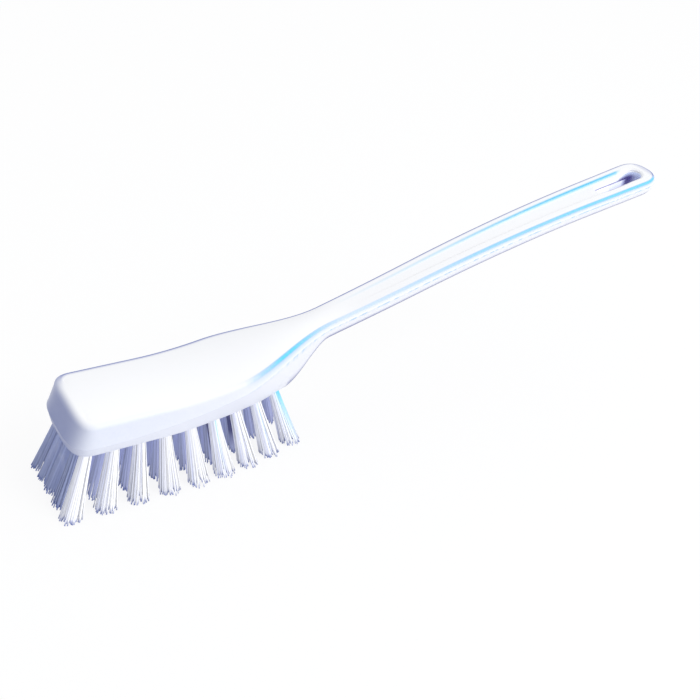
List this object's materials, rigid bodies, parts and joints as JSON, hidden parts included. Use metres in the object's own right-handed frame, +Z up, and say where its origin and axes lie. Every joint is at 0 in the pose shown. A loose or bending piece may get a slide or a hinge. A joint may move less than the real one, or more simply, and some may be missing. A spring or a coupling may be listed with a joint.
{
  "type": "detailing brush",
  "caption": "Long-handled hand brush: a rounded rectangular head with rows of flaring bristle tufts, and a rising, flaring handle with a hanging slot.",
  "frame": {"origin": "bottom centre of the bounding box, on the plane of the bristle tips", "axes": "+X along the brush from head to handle, +Y across it, +Z up from the bristle tips to the top of the head"},
  "size_m": [0.2792, 0.0412, 0.0965],
  "materials": {
    "handle_plastic": "white moulded plastic, smooth and softly glossy",
    "bristle": "stiff white synthetic filament, cut to one level with ragged tips"
  },
  "bodies": {
    "root": {"brush_body": "handle_plastic", "tuft_1_1": "bristle", "tuft_1_2": "bristle", "tuft_1_3": "bristle", "tuft_1_4": "bristle", "tuft_1_5": "bristle", "tuft_2_1": "bristle", "tuft_2_2": "bristle", "tuft_2_3": "bristle", "tuft_2_4": "bristle", "tuft_2_5": "bristle", "tuft_3_1": "bristle", "tuft_3_2": "bristle", "tuft_3_3": "bristle", "tuft_3_4": "bristle", "tuft_3_5": "bristle", "tuft_4_1": "bristle", "tuft_4_2": "bristle", "tuft_4_3": "bristle", "tuft_4_4": "bristle", "tuft_4_5": "bristle", "tuft_5_1": "bristle", "tuft_5_2": "bristle", "tuft_5_3": "bristle", "tuft_5_4": "bristle", "tuft_5_5": "bristle", "tuft_6_1": "bristle", "tuft_6_2": "bristle", "tuft_6_3": "bristle", "tuft_6_4": "bristle", "tuft_6_5": "bristle", "tuft_7_1": "bristle", "tuft_7_2": "bristle", "tuft_7_3": "bristle", "tuft_7_4": "bristle", "tuft_8_1": "bristle", "tuft_8_2": "bristle", "tuft_8_3": "bristle", "tuft_9_1": "bristle", "tuft_9_2": "bristle"}
  },
  "joints": []
}
